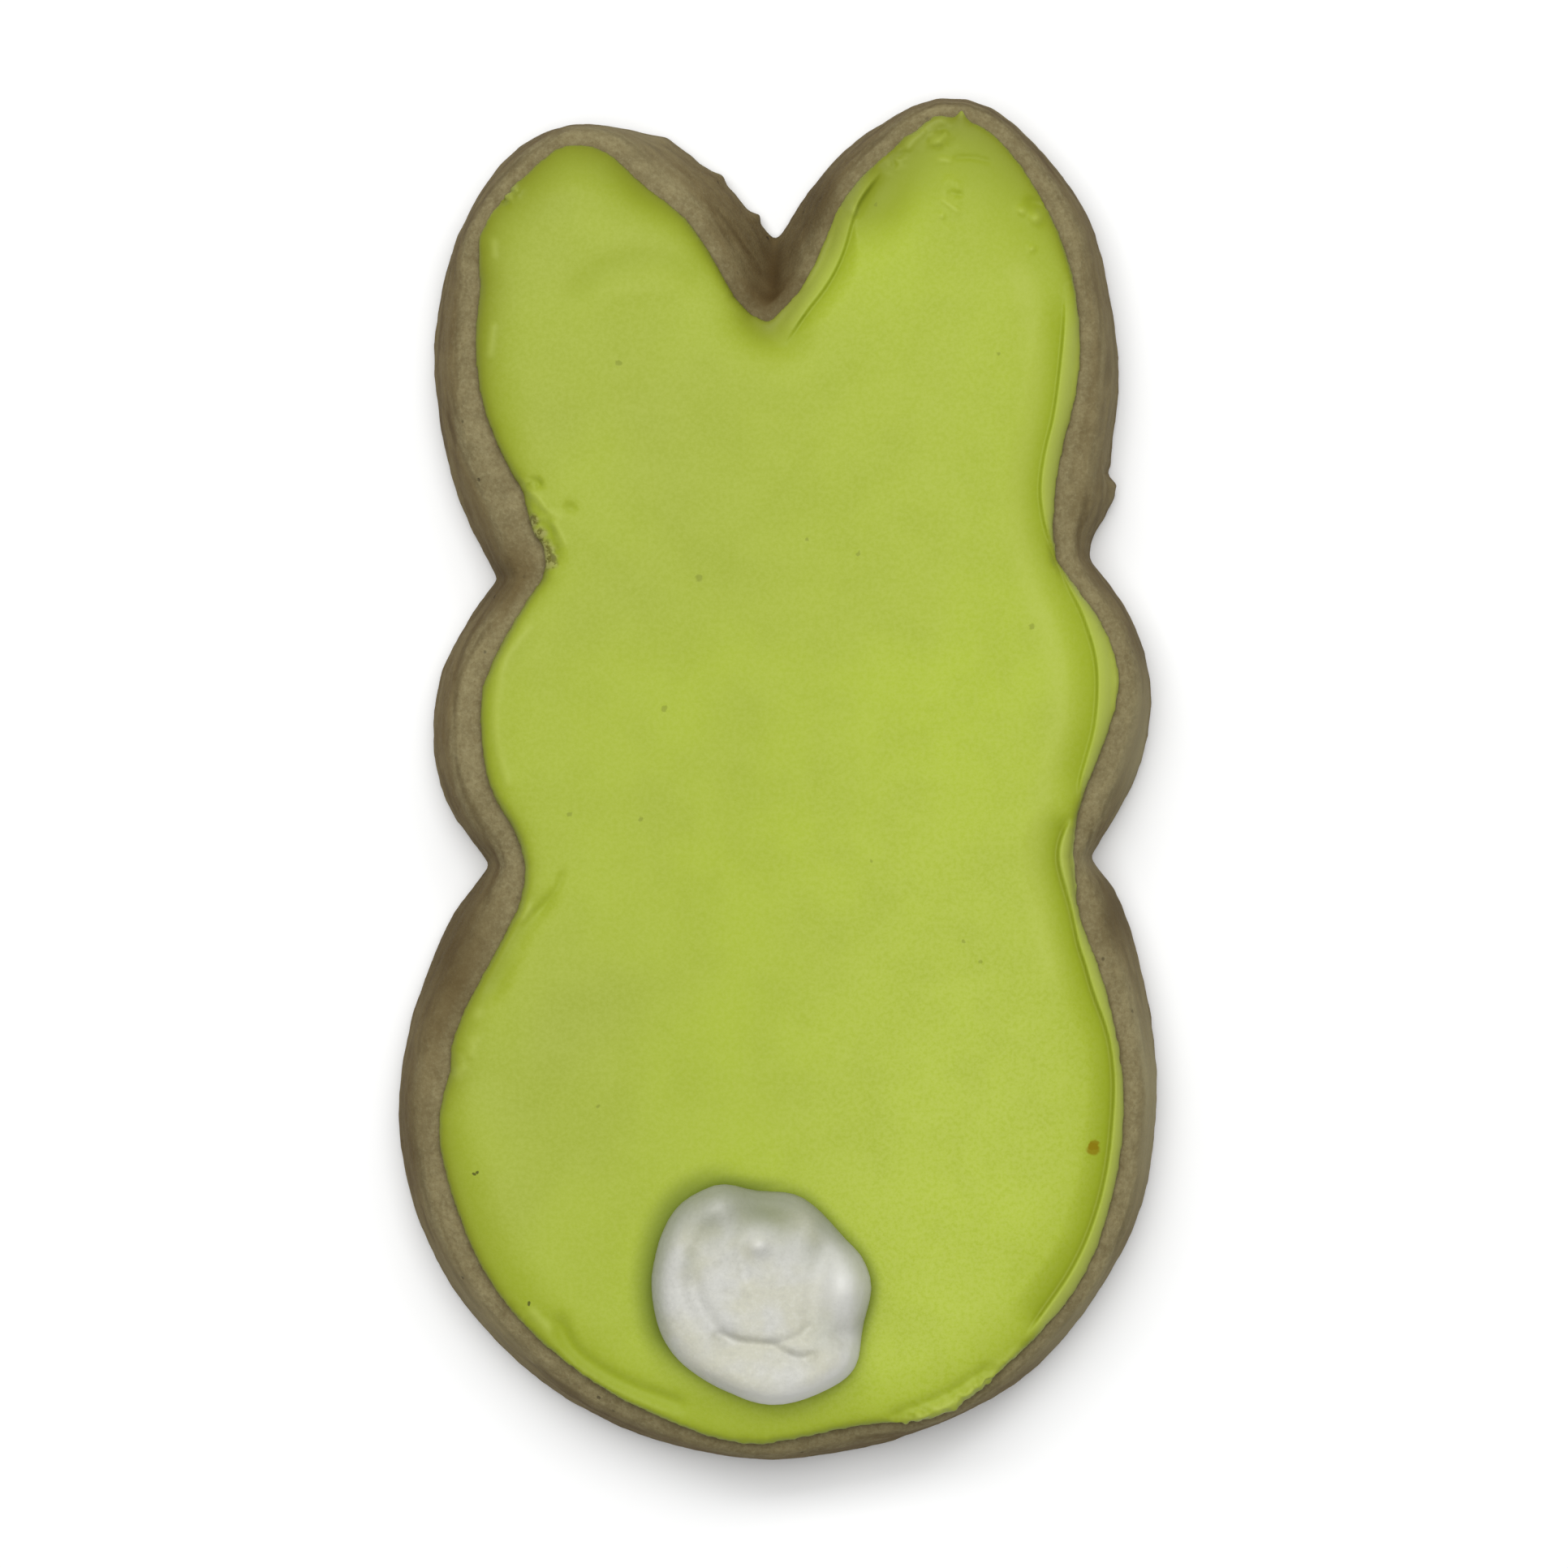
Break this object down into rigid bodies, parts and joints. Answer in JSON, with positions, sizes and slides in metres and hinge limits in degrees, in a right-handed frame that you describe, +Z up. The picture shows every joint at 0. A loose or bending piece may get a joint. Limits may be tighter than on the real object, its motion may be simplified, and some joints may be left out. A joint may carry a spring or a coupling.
{
  "type": "iced sugar cookie",
  "caption": "Rabbit-shaped sugar cookie lying flat, with a spread layer of green icing and a white icing dollop for its tail.",
  "frame": {"origin": "middle of the length and width, on the underside that the cookie lies on", "axes": "+Z up out of the icing, +Y towards the ear tips, +X to the right as the iced side is looked down on"},
  "size_m": [0.0604, 0.108, 0.0155],
  "materials": {
    "baked_biscuit": "matt, pale brown baked sugar dough with fine pores",
    "green_icing": "satin yellow-green icing, spread smooth with a knife",
    "white_icing": "matt to satin off-white icing"
  },
  "bodies": {
    "root": {"cookie": "baked_biscuit", "icing": "green_icing", "tail": "white_icing"}
  },
  "joints": []
}
